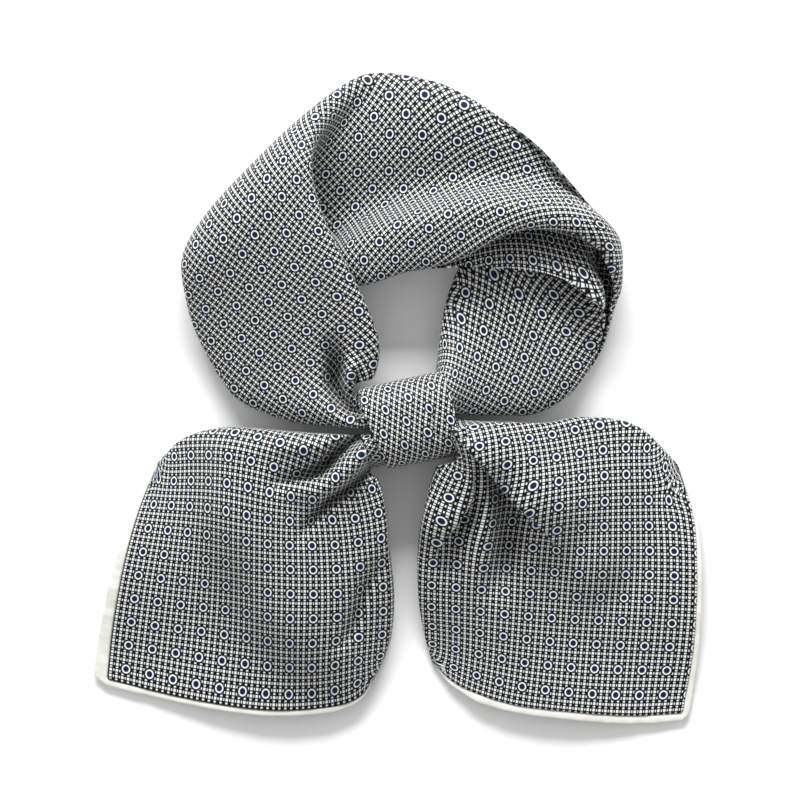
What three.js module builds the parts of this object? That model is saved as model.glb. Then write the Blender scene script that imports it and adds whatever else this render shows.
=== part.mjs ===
// A printed silk square, folded to a band, tied in a loop with a front knot and laid flat.
// Millimetres, +Z up from the table, +Y towards the back of the neck, knot at the front.
import * as THREE from "three";

// Band round the neck
const loopLength = 290;
const bandWidth = 57;
const bandThickness = 13;
const clothWall = 1.2;
const slitGap = 1.1;
const backBandAngle = -19.9;

// Round turns where the band folds over itself, at the left and at the right
const leftTurnRadius = 9;
const rightTurnRadius = 8.4;

// Knot
const knotLength = 26;
const knotHeight = 30;
const knotDepth = 29;
const knotWall = 1.6;
const knotTurn = 12;
const seatGap = 0.35;
// Its middle is this far right of and below the middle of the band's ends, shares of its size
const knotRightShare = 0.24;
const knotBelowShare = 0.17;
// The line beside the knot that parts band from tails: how far it runs, and its slopes
const partingReach = 34;
const leftParting = 0.15;
const rightParting = -0.3;
// The frame that cloth keeps clear of round the knot: a higher power has squarer corners
const clearPower = 8;

// Tails and their white hems
const leftTailWidth = 90;
const leftTailLength = 79;
const rightTailWidth = 80;
const rightTailLength = 95;
const tailThickness = 9;
const hemWidth = 3.4;
const hemThickness = 2.2;
const hemGap = 0.5;
// The slit below each tail, share of the way round
const tailSlitShare = 0.12;
// The lower layer stops short of the hems by this share of the tail
const setBackShare = 0.06;
// Thickness of a tail at the knot, in its thin corners and added half way along each hem,
// shares of the tail thickness
const knotPuffShare = 1.6;
const cornerPuffShare = 0.42;
const hemPuffShare = 0.4;

// How far from the knot the cloth is still drawn together: share of the loop length, and
// share of the way from the knot to the hem
const bandGatherShare = 0.075;
const tailGatherShare = 0.38;

// How square the flat oval sections are: 1 is an ellipse, less is squarer
const bandSquareness = 0.66;
const tailSquareness = 0.6;
const neckSquareness = 0.72;

// Facets
const loopSteps = 66;
const loopSides = 20;
const tailSteps = 13;
const tailSides = 32;
// Rows of a tail lie closer at the knot: 1 is even
const tailCrowding = 1.4;
const knotSteps = 8;
const knotSides = 28;

// Half round section of a rolled hem: across from the cloth, up from its middle
const hemSection = [[0, -1], [0.7, -1], [1, -0.4], [1, 0.4], [0.7, 1], [0, 1]];
// Each hem ends where the cloth's edge has turned down to this share of its height
const hemEnd = 0.5;

const radians = (degrees) => (degrees * Math.PI) / 180;
const clamp = (x, low, high) => Math.min(high, Math.max(low, x));
const mix = (a, b, share) => a + (b - a) * share;

function ease(from, to, x) {
  const t = clamp((x - from) / (to - from), 0, 1);
  return t * t * (3 - 2 * t);
}

// A smooth value of one column of a table at a place between its rows
function column(rows, key, name, x) {
  const last = rows.length - 1;
  let i = 0;
  while (i < last - 1 && x > rows[i + 1][key]) i += 1;
  const a = rows[i];
  const b = rows[i + 1];
  const before = rows[Math.max(i - 1, 0)];
  const after = rows[Math.min(i + 2, last)];
  const t = clamp((x - a[key]) / (b[key] - a[key]), 0, 1);
  const step = b[key] - a[key];
  const m0 = ((b[name] - before[name]) / (b[key] - before[key])) * step;
  const m1 = ((after[name] - a[name]) / (after[key] - a[key])) * step;
  const t2 = t * t;
  const t3 = t2 * t;
  return (2 * t3 - 3 * t2 + 1) * a[name] + (t3 - 2 * t2 + t) * m0
    + (3 * t2 - 2 * t3) * b[name] + (t3 - t2) * m1;
}

// Evenly spaced places round a flat oval section, from one side of its slit to the other.
// The slit is at the outer edge, or below the middle; a place has across and up, from -1 to 1.
function ovalSection({ sides, width, thickness, squareness, gap, below = false }) {
  const fine = 720;
  const open = Math.asin((gap / (below ? width : thickness)) ** (1 / squareness));
  const start = below ? -Math.PI / 2 - open : Math.PI - open;
  const sweep = 2 * (Math.PI - open);
  const bend = (x) => Math.sign(x) * Math.abs(x) ** squareness;
  const raw = [];
  const walked = [0];
  for (let i = 0; i <= fine; i += 1) {
    const angle = start - (i / fine) * sweep;
    raw.push([bend(Math.cos(angle)), bend(Math.sin(angle))]);
    if (i === 0) continue;
    const dx = ((raw[i][0] - raw[i - 1][0]) * width) / 2;
    const dy = ((raw[i][1] - raw[i - 1][1]) * thickness) / 2;
    walked.push(walked[i - 1] + Math.hypot(dx, dy));
  }
  const places = [];
  let j = 0;
  for (let i = 0; i <= sides; i += 1) {
    const goal = (walked[fine] * i) / sides;
    while (j < fine - 1 && walked[j + 1] < goal) j += 1;
    const t = (goal - walked[j]) / (walked[j + 1] - walked[j]);
    places.push({ across: mix(raw[j][0], raw[j + 1][0], t), up: mix(raw[j][1], raw[j + 1][1], t) });
  }
  return places;
}

// One closed wall of even thickness on both sides of a grid of points
function clothFrom(grid, wall) {
  const rows = grid.length;
  const cols = grid[0].length;
  const point = (i, j) => grid[clamp(i, 0, rows - 1)][clamp(j, 0, cols - 1)];
  const faces = [[], []];
  for (let i = 0; i < rows; i += 1) {
    for (let j = 0; j < cols; j += 1) {
      const along = point(i + 1, j).clone().sub(point(i - 1, j));
      const round = point(i, j + 1).clone().sub(point(i, j - 1));
      const normal = along.cross(round).normalize();
      faces[0].push(point(i, j).clone().addScaledVector(normal, wall / 2));
      faces[1].push(point(i, j).clone().addScaledVector(normal, -wall / 2));
    }
  }
  const points = [...faces[0], ...faces[1]];
  const half = rows * cols;
  const index = [];
  const quad = (a, b, c, d) => index.push(a, b, c, a, c, d);
  for (let i = 0; i < rows - 1; i += 1) {
    for (let j = 0; j < cols - 1; j += 1) {
      const a = i * cols + j;
      quad(a, a + cols, a + cols + 1, a + 1);
      quad(half + a, half + a + 1, half + a + cols + 1, half + a + cols);
    }
  }
  for (let i = 0; i < rows - 1; i += 1) {
    const a = i * cols;
    const b = a + cols - 1;
    quad(a, half + a, half + a + cols, a + cols);
    quad(b, b + cols, half + b + cols, half + b);
  }
  for (let j = 0; j < cols - 1; j += 1) {
    const b = (rows - 1) * cols + j;
    quad(j, j + 1, half + j + 1, half + j);
    quad(b, half + b, half + b + 1, b + 1);
  }
  return solidFrom(points, index);
}

// A geometry whose faces point out, whichever way its quads were wound
function solidFrom(points, index) {
  let volume = 0;
  for (let i = 0; i < index.length; i += 3) {
    const [a, b, c] = [points[index[i]], points[index[i + 1]], points[index[i + 2]]];
    volume += a.dot(b.clone().cross(c));
  }
  if (volume < 0) index.reverse();
  const geometry = new THREE.BufferGeometry();
  geometry.setAttribute("position", new THREE.Float32BufferAttribute(points.flatMap((p) => p.toArray()), 3));
  geometry.setIndex(index);
  geometry.computeVertexNormals();
  return geometry;
}

// Cloth lies on the table: a point of its middle is never lower than half its wall
const onTable = (p) => p.setZ(Math.max(p.z, clothWall / 2));

// The band before it is turned over itself, from the left end at the knot to the right end.
// along: share of the loop length; inner and outer: the two edges, shares of the band width;
// innerLift and outerLift: height of the middle above the table and puff: thickness,
// shares of the band thickness; lip: how far the mouth opens the outer edge, share of the width
const band = [
  { along: -0.5, inner: 0.05, outer: -0.5, innerLift: -0.35, outerLift: -0.35, puff: 1.1, lip: 0 },
  { along: -0.469, inner: 0.2, outer: -0.57, innerLift: -0.35, outerLift: -0.74, puff: 1.1, lip: 0 },
  { along: -0.434, inner: 0.29, outer: -0.62, innerLift: -0.2, outerLift: -0.89, puff: 1.08, lip: 0 },
  { along: -0.386, inner: 0.305, outer: -0.68, innerLift: 0.1, outerLift: -0.89, puff: 1.05, lip: 0 },
  { along: -0.324, inner: 0.275, outer: -0.7, innerLift: 0.45, outerLift: -0.74, puff: 1, lip: 0 },
  { along: -0.262, inner: 0.256, outer: -0.637, innerLift: 0.56, outerLift: -0.2, puff: 0.96, lip: 0 },
  { along: -0.207, inner: 0.307, outer: -0.56, innerLift: 0.56, outerLift: 0.2, puff: 0.92, lip: 0 },
  { along: -0.152, inner: 0.49, outer: -0.52, innerLift: 0.43, outerLift: 0.38, puff: 0.92, lip: 0 },
  { along: -0.097, inner: 0.72, outer: -0.5, innerLift: 0.43, outerLift: 0.4, puff: 0.94, lip: 0 },
  { along: -0.021, inner: 0.807, outer: -0.477, innerLift: 0.44, outerLift: 0.4, puff: 0.96, lip: 0 },
  { along: 0.028, inner: 0.785, outer: -0.3, innerLift: 0.58, outerLift: 0.46, puff: 1.02, lip: 0 },
  { along: 0.076, inner: 0.725, outer: -0.185, innerLift: 0.95, outerLift: 0.9, puff: 1.08, lip: 0.04 },
  { along: 0.124, inner: 0.645, outer: -0.105, innerLift: 1.3, outerLift: 1.3, puff: 1.15, lip: 0.22 },
  { along: 0.172, inner: 0.51, outer: -0.046, innerLift: 1.6, outerLift: 1.6, puff: 1.08, lip: 0.27 },
  { along: 0.214, inner: 0.395, outer: -0.045, innerLift: 1.75, outerLift: 1.75, puff: 0.92, lip: 0.27 },
  { along: 0.248, inner: 0.35, outer: -0.1, innerLift: 1.8, outerLift: 1.8, puff: 0.84, lip: 0.2 },
  { along: 0.29, inner: 0.4, outer: -0.1, innerLift: 1.82, outerLift: 1.82, puff: 0.88, lip: 0.03 },
  { along: 0.324, inner: 0.48, outer: -0.26, innerLift: 1.74, outerLift: 1.74, puff: 1.02, lip: 0 },
  { along: 0.366, inner: 0.53, outer: -0.42, innerLift: 1.76, outerLift: 1.74, puff: 1.04, lip: 0 },
  { along: 0.414, inner: 0.55, outer: -0.48, innerLift: 1.78, outerLift: 1.74, puff: 1.06, lip: 0 },
  { along: 0.455, inner: 0.5, outer: -0.43, innerLift: 2, outerLift: 1.85, puff: 1.1, lip: 0 },
  { along: 0.479, inner: 0.27, outer: -0.4, innerLift: 2.25, outerLift: 2.05, puff: 1.14, lip: 0 },
  { along: 0.5, inner: 0.03, outer: -0.34, innerLift: 2.3, outerLift: 2.2, puff: 1.16, lip: 0 },
];

// The two lines the band is turned over, as it lies before turning: where each crosses the
// middle of the band, how far it leans from square, and whether the end goes up or under
const turns = [
  { at: -0.1293 * loopLength, lean: 24.5, side: -1, radius: leftTurnRadius, rise: 1 },
  { at: 0.2265 * loopLength, lean: 19.9, side: 1, radius: rightTurnRadius, rise: -1 },
];

// Where a place of the flat band comes to lie; off is its distance above the middle
function turned(along, across, lift, off) {
  let x = along;
  let y = across;
  let z = lift + off;
  for (const { at, lean, side, radius, rise } of turns) {
    const nx = side * Math.cos(radians(lean));
    const ny = Math.sin(radians(lean));
    const past = (x - at) * nx + y * ny;
    if (past <= 0) continue;
    const angle = Math.min(past / radius, Math.PI);
    const over = Math.max(past - Math.PI * radius, 0);
    const reach = (radius - rise * off) * Math.sin(angle) - over;
    x += (reach - past) * nx;
    y += (reach - past) * ny;
    z = lift + rise * (radius - (radius - rise * off) * Math.cos(angle));
  }
  const turn = radians(backBandAngle);
  return new THREE.Vector3(
    x * Math.cos(turn) - y * Math.sin(turn),
    x * Math.sin(turn) + y * Math.cos(turn),
    z,
  );
}

// A row of the band at one place along it, in millimetres
function bandAt(along) {
  const share = along / loopLength;
  const at = (name) => column(band, "along", name, share);
  return {
    inner: at("inner") * bandWidth,
    outer: at("outer") * bandWidth,
    innerLift: at("innerLift") * bandThickness,
    outerLift: at("outerLift") * bandThickness,
    puff: at("puff") * bandThickness,
    lip: Math.max(at("lip"), 0) * bandWidth,
  };
}

function bandMiddle(along) {
  const row = bandAt(along);
  return turned(along, (row.inner + row.outer) / 2, (row.innerLift + row.outerLift) / 2, 0);
}

// The knot stands between the two ends of the band
const leftEnd = bandMiddle(-loopLength / 2);
const rightEnd = bandMiddle(loopLength / 2);
const knotCentre = leftEnd.clone().add(rightEnd).multiplyScalar(0.5);
knotCentre.x += knotRightShare * knotLength;
knotCentre.y -= knotBelowShare * knotHeight;

// A place given along the knot's axis, across it and up from the table, in the frame of the part
function byKnot(x, y, z) {
  const turn = radians(knotTurn);
  return new THREE.Vector3(
    knotCentre.x + x * Math.cos(turn) - y * Math.sin(turn),
    knotCentre.y + x * Math.sin(turn) + y * Math.cos(turn),
    z,
  );
}

// Cloth outside the knot keeps clear of its wall: a point is moved straight out from the
// knot's middle to a rounded frame that goes round its corners. Beside the knot the band
// (level 1) also keeps to its side of a parting line, and the tails (level -1) to theirs.
function clearOfKnot(p, level) {
  const turn = radians(-knotTurn);
  const dx = p.x - knotCentre.x;
  const dy = p.y - knotCentre.y;
  const x = dx * Math.cos(turn) - dy * Math.sin(turn);
  const y = dx * Math.sin(turn) + dy * Math.cos(turn);
  const corner = 2 ** (1 / clearPower);
  const clear = clothWall / 2 + 2 * seatGap;
  const alongShare = Math.abs(x) / ((knotLength / 2 + clear) * corner);
  const acrossShare = Math.abs(y) / ((knotHeight / 2 + clear) * corner);
  const share = (alongShare ** clearPower + acrossShare ** clearPower) ** (1 / clearPower);
  const outX = share < 1 ? x / share : x;
  const outY = share < 1 ? y / share : y;
  const beside = Math.abs(outX) - knotLength / 2;
  if (beside < 0 || beside > partingReach) return share < 1 ? byKnot(outX, outY, p.z) : p;
  const parting = beside * (outX > 0 ? rightParting : leftParting);
  const kept = Math.max(level * (outY - parting), (clothWall + seatGap) / 2);
  return byKnot(outX, parting + level * kept, p.z);
}

// Four gathered ends pass into the knot: a band end above a tail end at each side
const neckWidth = (knotHeight - 2 * knotWall - 3 * seatGap) / 2;
const neckHeight = knotDepth - 2 * knotWall - 2 * seatGap;
const neckMiddle = (neckWidth + seatGap) / 2;

// A place on a gathered end: side is -1 left or 1 right, level is 1 band or -1 tail,
// depth 0 just outside the knot's rim and 1 near its middle
function neckPlace(side, level, depth, across, up) {
  const x = side * mix(knotLength / 2 + 2 * seatGap, seatGap + clothWall / 2, depth);
  const y = level * neckMiddle + (across * (neckWidth - clothWall)) / 2;
  const rim = Math.abs(y) / (knotHeight / 2 - knotWall - seatGap - clothWall / 2);
  const round = (1 - Math.min(rim, 1) ** (2 / neckSquareness)) ** (neckSquareness / 2);
  const z = knotDepth / 2 + (up * round * (neckHeight - clothWall)) / 2;
  return byKnot(x, y, z);
}

// The band's folds beside the knot. side: the end it runs from; at: place across the band;
// deep: share of the thickness, below 0 for a ridge; wide: share of the width; reach: share of
// the loop length that it fades over
const bandFolds = [
  { side: -1, at: 0.1, deep: 0.5, wide: 0.16, reach: 0.17 },
  { side: -1, at: -0.35, deep: 0.35, wide: 0.14, reach: 0.1 },
  { side: 1, at: 0.15, deep: 0.4, wide: 0.16, reach: 0.13 },
  { side: 1, at: -0.5, deep: 0.35, wide: 0.15, reach: 0.1 },
];

function foldDepth(side, fromEnd, across) {
  let deep = 0;
  for (const fold of bandFolds) {
    if (fold.side !== side) continue;
    const fade = 1 - ease(0, fold.reach * loopLength, fromEnd);
    deep += fold.deep * fade * Math.exp(-(((across - fold.at) / fold.wide) ** 2));
  }
  return deep;
}

function neckLoop() {
  const gap = slitGap + clothWall;
  const section = ovalSection({
    sides: loopSides, width: bandWidth, thickness: bandThickness, squareness: bandSquareness, gap,
  });
  const neck = ovalSection({
    sides: loopSides, width: neckWidth, thickness: neckHeight, squareness: neckSquareness, gap,
  });
  const grid = [];
  const end = (side, depth) => neck.map(({ across, up }) => neckPlace(side, 1, depth, across, -up));
  grid.push(end(-1, 1), end(-1, 0.5));
  for (let i = 0; i <= loopSteps; i += 1) {
    const along = mix(-loopLength / 2, loopLength / 2, i / loopSteps);
    const row = bandAt(along);
    const side = along < 0 ? -1 : 1;
    const fromEnd = loopLength / 2 - Math.abs(along);
    const drawn = 1 - ease(0, bandGatherShare * loopLength, fromEnd);
    grid.push(section.map(({ across, up }, j) => {
      const lip = j < loopSides / 2 ? (2 * row.lip) / (row.inner - row.outer) - 1 : -1;
      const reach = Math.max(across, lip);
      const share = (reach + 1) / 2;
      const dent = up < 0 ? 1 - foldDepth(side, fromEnd, reach) : 1;
      const off = (up * dent * (row.puff - clothWall)) / 2;
      const lift = mix(row.outerLift, row.innerLift, share);
      const laid = turned(along, mix(row.outer, row.inner, share), lift, off);
      const held = neckPlace(side, 1, 0, neck[j].across, -neck[j].up * dent);
      const placed = laid.lerp(held, drawn);
      return onTable(fromEnd > 0 ? clearOfKnot(placed, 1) : placed);
    }));
  }
  grid.push(end(1, 0.5), end(1, 1));
  return clothFrom(grid, clothWall);
}

function knotWrap() {
  const section = ovalSection({
    sides: knotSides, width: knotHeight, thickness: knotDepth, squareness: neckSquareness,
    gap: slitGap + knotWall, below: true,
  });
  const grid = [];
  for (let i = 0; i <= knotSteps; i += 1) {
    const x = mix(-knotLength / 2, knotLength / 2, i / knotSteps);
    grid.push(section.map(({ across, up }) => {
      const y = (across * (knotHeight - knotWall)) / 2;
      const z = knotDepth / 2 + (up * (knotDepth - knotWall)) / 2;
      return byKnot(x, y, z);
    }));
  }
  return clothFrom(grid, knotWall);
}

// The four edges of each tail, seen from above. out: share of the tail's width away from the
// knot's side; down: share of its length towards the corner
const leftTailEdges = {
  top: [
    { out: 0.01, down: 0 },
    { out: 0.28, down: -0.09 },
    { out: 0.52, down: -0.115 },
    { out: 0.7, down: -0.065 },
    { out: 0.81, down: 0.06 },
  ],
  side: [
    { out: 0.81, down: 0.06 },
    { out: 0.885, down: 0.27 },
    { out: 0.94, down: 0.5 },
    { out: 0.975, down: 0.75 },
    { out: 1, down: 1 },
  ],
  bottom: [
    { out: -0.03, down: 0.98 },
    { out: 0.05, down: 1.095 },
    { out: 0.21, down: 1.135 },
    { out: 0.42, down: 1.14 },
    { out: 0.7, down: 1.085 },
    { out: 1, down: 1 },
  ],
  inner: [
    { out: 0.01, down: 0 },
    { out: -0.065, down: 0.2 },
    { out: -0.075, down: 0.38 },
    { out: -0.095, down: 0.62 },
    { out: -0.08, down: 0.82 },
    { out: -0.03, down: 0.98 },
  ],
};
const rightTailEdges = {
  top: [
    { out: -0.01, down: 0 },
    { out: 0.32, down: -0.045 },
    { out: 0.56, down: -0.07 },
    { out: 0.8, down: -0.03 },
    { out: 0.98, down: 0.115 },
  ],
  side: [
    { out: 0.98, down: 0.115 },
    { out: 1.045, down: 0.3 },
    { out: 1.06, down: 0.52 },
    { out: 1.045, down: 0.77 },
    { out: 1, down: 1 },
  ],
  bottom: [
    { out: -0.08, down: 0.81 },
    { out: 0.05, down: 0.9 },
    { out: 0.26, down: 0.965 },
    { out: 0.52, down: 0.995 },
    { out: 0.78, down: 1.01 },
    { out: 1, down: 1 },
  ],
  inner: [
    { out: -0.01, down: 0 },
    { out: -0.11, down: 0.16 },
    { out: -0.155, down: 0.4 },
    { out: -0.15, down: 0.58 },
    { out: -0.12, down: 0.71 },
    { out: -0.08, down: 0.81 },
  ],
};

// Pleats that run out of the knot over each tail. at: share of the way round from the top edge
// to the inner one; deep: share of the thickness, below 0 for a ridge; wide: share of the way
// round; reach: share of the way from the knot to the hem
const leftTailFolds = [
  { at: 0.36, deep: 0.75, wide: 0.07, reach: 0.62 },
  { at: 0.24, deep: -0.3, wide: 0.09, reach: 0.7 },
  { at: 0.62, deep: 0.6, wide: 0.06, reach: 0.75 },
  { at: 0.5, deep: -0.35, wide: 0.08, reach: 0.8 },
  { at: 0.84, deep: 0.4, wide: 0.05, reach: 1.1 },
];
const rightTailFolds = [
  { at: 0.45, deep: 0.75, wide: 0.055, reach: 0.75 },
  { at: 0.36, deep: -0.4, wide: 0.08, reach: 0.8 },
  { at: 0.66, deep: 0.7, wide: 0.05, reach: 0.9 },
  { at: 0.56, deep: -0.35, wide: 0.06, reach: 0.9 },
  { at: 0.84, deep: 0.5, wide: 0.05, reach: 0.8 },
];

// A smooth place along an edge's rows, by share of the way through them
function edgeAt(rows, share) {
  const numbered = rows.map((row, i) => ({ ...row, i: i / (rows.length - 1) }));
  return [column(numbered, "i", "out", share), column(numbered, "i", "down", share)];
}

// A place of a tail as a share: out from the inner edge to the side hem, and down from the
// top edge to the bottom hem, blended from the four edges
function tailPlan(edges, out, down) {
  const top = edgeAt(edges.top, out);
  const bottom = edgeAt(edges.bottom, out);
  const inner = edgeAt(edges.inner, down);
  const side = edgeAt(edges.side, down);
  const corner = (rows, last) => {
    const row = last ? rows.at(-1) : rows[0];
    return [row.out, row.down];
  };
  const corners = [corner(edges.top, false), corner(edges.top, true),
    corner(edges.bottom, false), corner(edges.bottom, true)];
  return [0, 1].map((k) => mix(top[k], bottom[k], down) + mix(inner[k], side[k], out)
    - mix(mix(corners[0][k], corners[1][k], out), mix(corners[2][k], corners[3][k], out), down));
}

function tailShape({ side, width, length, edges, folds }) {
  // The knot's end of the tail, and a place of its plan in millimetres
  const root = neckPlace(side, -1, 0, 0, 0);
  const plan = (out, down) => {
    const [x, y] = tailPlan(edges, out, down);
    return [root.x + side * x * width, root.y - y * length];
  };
  // reach: 0 at the knot, 1 at the hems; round: 0 at the top edge, 1 at the inner edge
  const place = (reach, round) => (round < 0.5
    ? plan(reach, 2 * round * reach)
    : plan(2 * (1 - round) * reach, reach));
  // Thickest half way along each hem, and thin at the corner between them
  const puff = (reach, round) => {
    const atHem = cornerPuffShare + hemPuffShare * Math.sin(2 * Math.PI * round) ** 2;
    return tailThickness * mix(knotPuffShare, atHem, ease(0.1, 1, reach));
  };
  const lift = (reach, round) => mix(knotDepth / 2, puff(reach, round) / 2, ease(0, 0.75, reach));
  const dent = (reach, round) => {
    let deep = 0;
    for (const fold of folds) {
      const fade = (1 - ease(0.3 * fold.reach, fold.reach, reach)) * ease(0.02, 0.2, reach);
      deep += fold.deep * fade * Math.exp(-(((round - fold.at) / fold.wide) ** 2));
    }
    return deep;
  };
  // Height of the middle of the upper layer: up is 1 on it, and 0 where it turns under
  const height = (reach, round, up) => {
    const body = (puff(reach, round) - clothWall) / 2;
    return lift(reach, round) + body * up * (up > 0 ? 1 - dent(reach, round) : 1);
  };
  return { side, place, height };
}

// Section of a tail, open in a slit below its middle
const tailSection = ovalSection({
  sides: tailSides, width: leftTailLength, thickness: tailThickness, squareness: tailSquareness,
  gap: tailSlitShare * leftTailLength, below: true,
});

function tailCloth({ side, place, height }) {
  const neck = ovalSection({
    sides: tailSides, width: neckWidth, thickness: neckHeight, squareness: neckSquareness,
    gap: slitGap + clothWall, below: true,
  });
  const grid = [];
  const end = (depth) => neck.map(({ across, up }) => neckPlace(side, -1, depth, -across, up));
  grid.push(end(1), end(0.5));
  for (let i = 0; i <= tailSteps; i += 1) {
    const reach = (i / tailSteps) ** tailCrowding;
    const drawn = 1 - ease(0, tailGatherShare, reach);
    grid.push(tailSection.map(({ across, up }, j) => {
      const round = (across + 1) / 2;
      const kept = reach * (1 + setBackShare * Math.min(up, 0));
      const [x, y] = place(kept, round);
      const held = neckPlace(side, -1, 0, -neck[j].across, neck[j].up);
      const placed = new THREE.Vector3(x, y, height(reach, round, up)).lerp(held, drawn);
      return onTable(i > 0 ? clearOfKnot(placed, -1) : placed);
    }));
  }
  return clothFrom(grid, clothWall);
}

// The rolled white hem beyond the printed cloth: along the side, round the corner and along
// the bottom
function tailHem({ side, place, height }) {
  const rail = tailSection.filter(({ up }) => up > hemEnd).map(({ across, up }) => {
    const round = (across + 1) / 2;
    const [x, y] = place(1, round);
    return new THREE.Vector3(x, y, Math.max(height(1, round, up), hemThickness / 2));
  });
  const last = rail.length - 1;
  const rings = rail.map((p, i) => {
    const before = rail[Math.max(i - 1, 0)];
    const after = rail[Math.min(i + 1, last)];
    const into = p.clone().sub(before).setZ(0).normalize();
    const onto = after.clone().sub(p).setZ(0).normalize();
    if (i === 0) into.copy(onto);
    if (i === last) onto.copy(into);
    const middle = into.clone().add(onto).normalize();
    const mitre = 1 / Math.max(middle.dot(onto), 0.5);
    const out = new THREE.Vector3(side * middle.y, -side * middle.x, 0).multiplyScalar(-mitre);
    return hemSection.map(([across, up]) => p.clone()
      .addScaledVector(out, hemGap + across * hemWidth)
      .setZ(p.z + (up * hemThickness) / 2));
  });
  const points = rings.flat();
  const sides = hemSection.length;
  const index = [];
  for (let i = 0; i < last; i += 1) {
    for (let j = 0; j < sides; j += 1) {
      const k = (j + 1) % sides;
      const a = i * sides;
      const b = a + sides;
      index.push(a + j, b + j, b + k, a + j, b + k, a + k);
    }
  }
  for (let j = 1; j < sides - 1; j += 1) {
    const a = last * sides;
    index.push(0, j, j + 1, a, a + j + 1, a + j);
  }
  return solidFrom(points, index);
}

const silk = new THREE.MeshStandardMaterial({ color: 0x6b6d6f, roughness: 0.5, metalness: 0 });
const white = new THREE.MeshStandardMaterial({ color: 0xf0f0e8, roughness: 0.55, metalness: 0 });
const square = new THREE.Group();

function add(name, geometry, material) {
  const mesh = new THREE.Mesh(geometry, material);
  mesh.name = name;
  square.add(mesh);
}

const leftTail = tailShape({
  side: -1, width: leftTailWidth, length: leftTailLength, edges: leftTailEdges, folds: leftTailFolds,
});
const rightTail = tailShape({
  side: 1, width: rightTailWidth, length: rightTailLength, edges: rightTailEdges, folds: rightTailFolds,
});
add("neck_loop", neckLoop(), silk);
add("knot_wrap", knotWrap(), silk);
add("left_tail", tailCloth(leftTail), silk);
add("right_tail", tailCloth(rightTail), silk);
add("left_hem", tailHem(leftTail), white);
add("right_hem", tailHem(rightTail), white);

// The origin is on the table, under the middle of the whole outline
const outline = new THREE.Box3().setFromObject(square);
const middle = outline.getCenter(new THREE.Vector3());
square.position.set(-middle.x, -middle.y, -outline.min.z);
const neckerchief = new THREE.Group();
neckerchief.add(square);
export default neckerchief;
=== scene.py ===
import bpy
import numpy as np
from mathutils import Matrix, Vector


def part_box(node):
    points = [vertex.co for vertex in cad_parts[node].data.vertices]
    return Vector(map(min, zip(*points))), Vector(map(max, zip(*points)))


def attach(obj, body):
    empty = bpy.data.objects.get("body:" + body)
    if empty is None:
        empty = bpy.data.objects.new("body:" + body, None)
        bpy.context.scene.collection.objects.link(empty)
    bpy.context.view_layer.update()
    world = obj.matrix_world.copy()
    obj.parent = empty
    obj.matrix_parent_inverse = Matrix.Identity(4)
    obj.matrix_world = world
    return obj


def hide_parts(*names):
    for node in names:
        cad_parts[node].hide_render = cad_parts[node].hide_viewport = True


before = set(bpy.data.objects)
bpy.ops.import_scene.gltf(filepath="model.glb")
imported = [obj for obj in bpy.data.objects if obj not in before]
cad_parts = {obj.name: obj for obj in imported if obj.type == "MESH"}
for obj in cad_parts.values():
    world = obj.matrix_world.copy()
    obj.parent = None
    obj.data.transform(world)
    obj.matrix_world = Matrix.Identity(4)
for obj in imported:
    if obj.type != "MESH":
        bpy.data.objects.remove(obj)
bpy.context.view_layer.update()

# A printed silk square, folded on the bias to a band, tied in a loop and laid flat.
# All sizes here are in millimetres; the mesh maker turns them into metres.
MM = 0.001

# Band round the neck
LOOP_LENGTH = 290
BAND_WIDTH = 57
BAND_THICKNESS = 13
BAND_SLIT = 2.3
BACK_BAND_ANGLE = np.radians(-19.9)
LEFT_TURN_RADIUS = 9
RIGHT_TURN_RADIUS = 8.4

# Knot
KNOT_LENGTH = 26
KNOT_HEIGHT = 30
KNOT_DEPTH = 29
KNOT_WALL = 1.6
KNOT_TURN = np.radians(12)
SEAT_GAP = 0.35
LEFT_PARTING = 0.3
RIGHT_PARTING = -0.3

# Tails
LEFT_TAIL = (90, 79)
RIGHT_TAIL = (80, 95)
TAIL_THICKNESS = 9
HEM_END = 0.5

# The print is laid out on folds of this share of their depth, and turned past the right turn
PRINT_FOLD_DEPTH = 0.4
LOBE_PRINT_TURN = np.radians(14)
KNOT_THREADS = np.radians([-40, 74])

# How square the outline is that the cloth keeps clear of the knot by, and by how much
CLEAR_POWER = 14
CLEAR = 0.35 + 2 * SEAT_GAP

# Cloth and grids
SILK = 0.7
RIM = 1.2
NECK_INSIDE = np.linspace(1, 0, 6)[:-1]
LOOP_ROWS = 250
LOOP_COLUMNS = 120
TAIL_ROWS = 170
TAIL_COLUMNS = 260
KNOT_ROWS = 70
KNOT_COLUMNS = 150


def ease(start, end, x):
    t = np.clip((x - start) / (end - start), 0, 1)
    return t * t * (3 - 2 * t)


def mix(a, b, share):
    return a + (b - a) * share


def table(names, *rows):
    """Rows of numbers as one array for each named column."""
    return dict(zip(names.split(), np.array(rows, float).T))


def smooth(rows, name, x):
    """A smooth value of one column at places along the table's first column."""
    key = next(iter(rows.values()))
    value = rows[name]
    last = len(key) - 1
    i = np.clip(np.searchsorted(key, x, side="right") - 1, 0, last - 1)
    before = np.maximum(i - 1, 0)
    after = np.minimum(i + 2, last)
    step = key[i + 1] - key[i]
    t = np.clip((x - key[i]) / step, 0, 1)
    m0 = (value[i + 1] - value[before]) / (key[i + 1] - key[before]) * step
    m1 = (value[after] - value[i]) / (key[after] - key[i]) * step
    t2, t3 = t * t, t * t * t
    return ((2 * t3 - 3 * t2 + 1) * value[i] + (t3 - 2 * t2 + t) * m0
            + (3 * t2 - 2 * t3) * value[i + 1] + (t3 - t2) * m1)


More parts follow.
